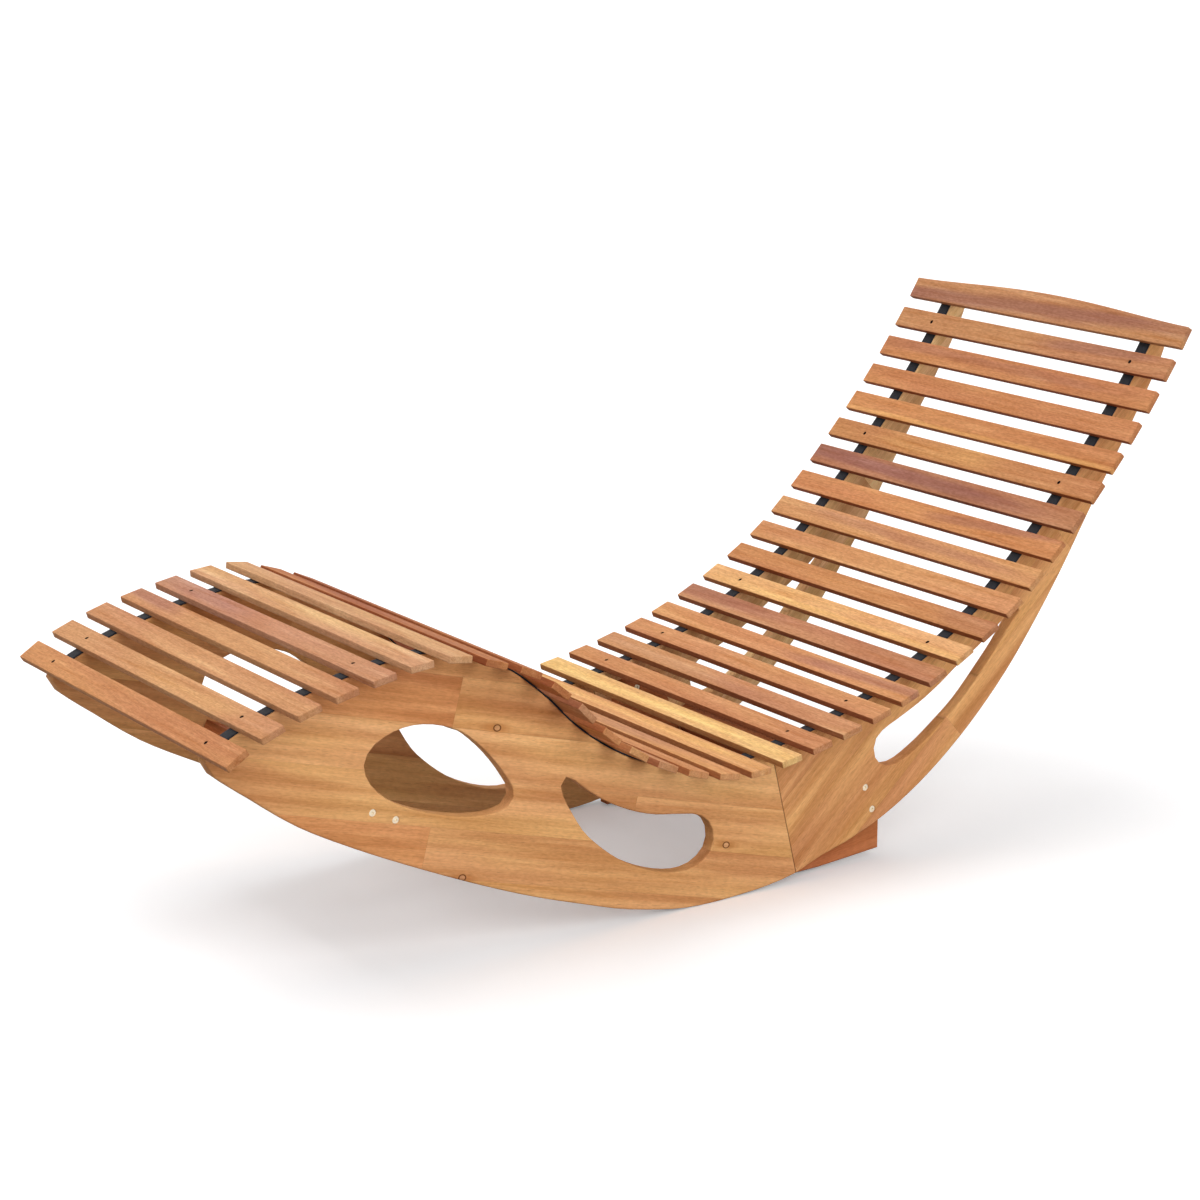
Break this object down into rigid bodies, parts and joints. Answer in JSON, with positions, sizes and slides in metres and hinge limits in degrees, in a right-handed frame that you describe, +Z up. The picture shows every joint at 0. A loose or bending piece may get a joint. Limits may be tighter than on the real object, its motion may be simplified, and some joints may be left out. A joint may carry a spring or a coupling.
{
  "type": "rocking chaise lounge",
  "caption": "Low wooden rocking lounger: shaped side panels with cut-outs carry cross slats on two webbing straps, from raised leg rest to backrest.",
  "frame": {"origin": "the middle of the footprint's bounding box, on the floor", "axes": "+X from the foot end to the head end, +Y across to the chair's left side as one lies on it, +Z up"},
  "size_m": [1.5088, 0.57, 0.7075],
  "materials": {
    "acacia_slats": "oiled, satin, grain along the slat",
    "acacia_boards": "oiled, satin, edge-glued lamellas",
    "acacia_dark": "oiled, satin, redder boards",
    "webbing": "woven band, matt",
    "cap_metal": "pale plated bolt head, satin"
  },
  "bodies": {
    "root": {"bolt_cap_front_1_far": "cap_metal", "bolt_cap_front_1_near": "cap_metal", "bolt_cap_front_2_far": "cap_metal", "bolt_cap_front_2_near": "cap_metal", "bolt_cap_plate_far": "cap_metal", "bolt_cap_plate_near": "cap_metal", "bolt_cap_rear_1_far": "cap_metal", "bolt_cap_rear_1_near": "cap_metal", "bolt_cap_rear_2_far": "cap_metal", "bolt_cap_rear_2_near": "cap_metal", "joint_plate_far": "acacia_dark", "joint_plate_near": "acacia_dark", "panel_back_far": "acacia_boards", "panel_back_near": "acacia_boards", "panel_front_far": "acacia_boards", "panel_front_near": "acacia_boards", "slat_01": "acacia_slats", "slat_02": "acacia_slats", "slat_03": "acacia_slats", "slat_04": "acacia_slats", "slat_05": "acacia_slats", "slat_06": "acacia_slats", "slat_07": "acacia_slats", "slat_08": "acacia_slats", "slat_09": "acacia_slats", "slat_10": "acacia_slats", "slat_11": "acacia_slats", "slat_12": "acacia_slats", "slat_13": "acacia_slats", "slat_14": "acacia_slats", "slat_15": "acacia_slats", "slat_16": "acacia_slats", "slat_17": "acacia_slats", "slat_18": "acacia_slats", "slat_19": "acacia_slats", "slat_20": "acacia_slats", "slat_21": "acacia_slats", "slat_22": "acacia_slats", "slat_23": "acacia_slats", "slat_24": "acacia_slats", "slat_25": "acacia_slats", "slat_26": "acacia_slats", "slat_27": "acacia_slats", "slat_28": "acacia_slats", "slat_29": "acacia_slats", "slat_30": "acacia_slats", "slat_31": "acacia_slats", "slat_32": "acacia_slats", "slat_33": "acacia_slats", "slat_34": "acacia_slats", "slat_35": "acacia_slats", "strap_far": "webbing", "strap_near": "webbing", "stretcher_front": "acacia_dark", "stretcher_rear": "acacia_dark"}
  },
  "joints": []
}
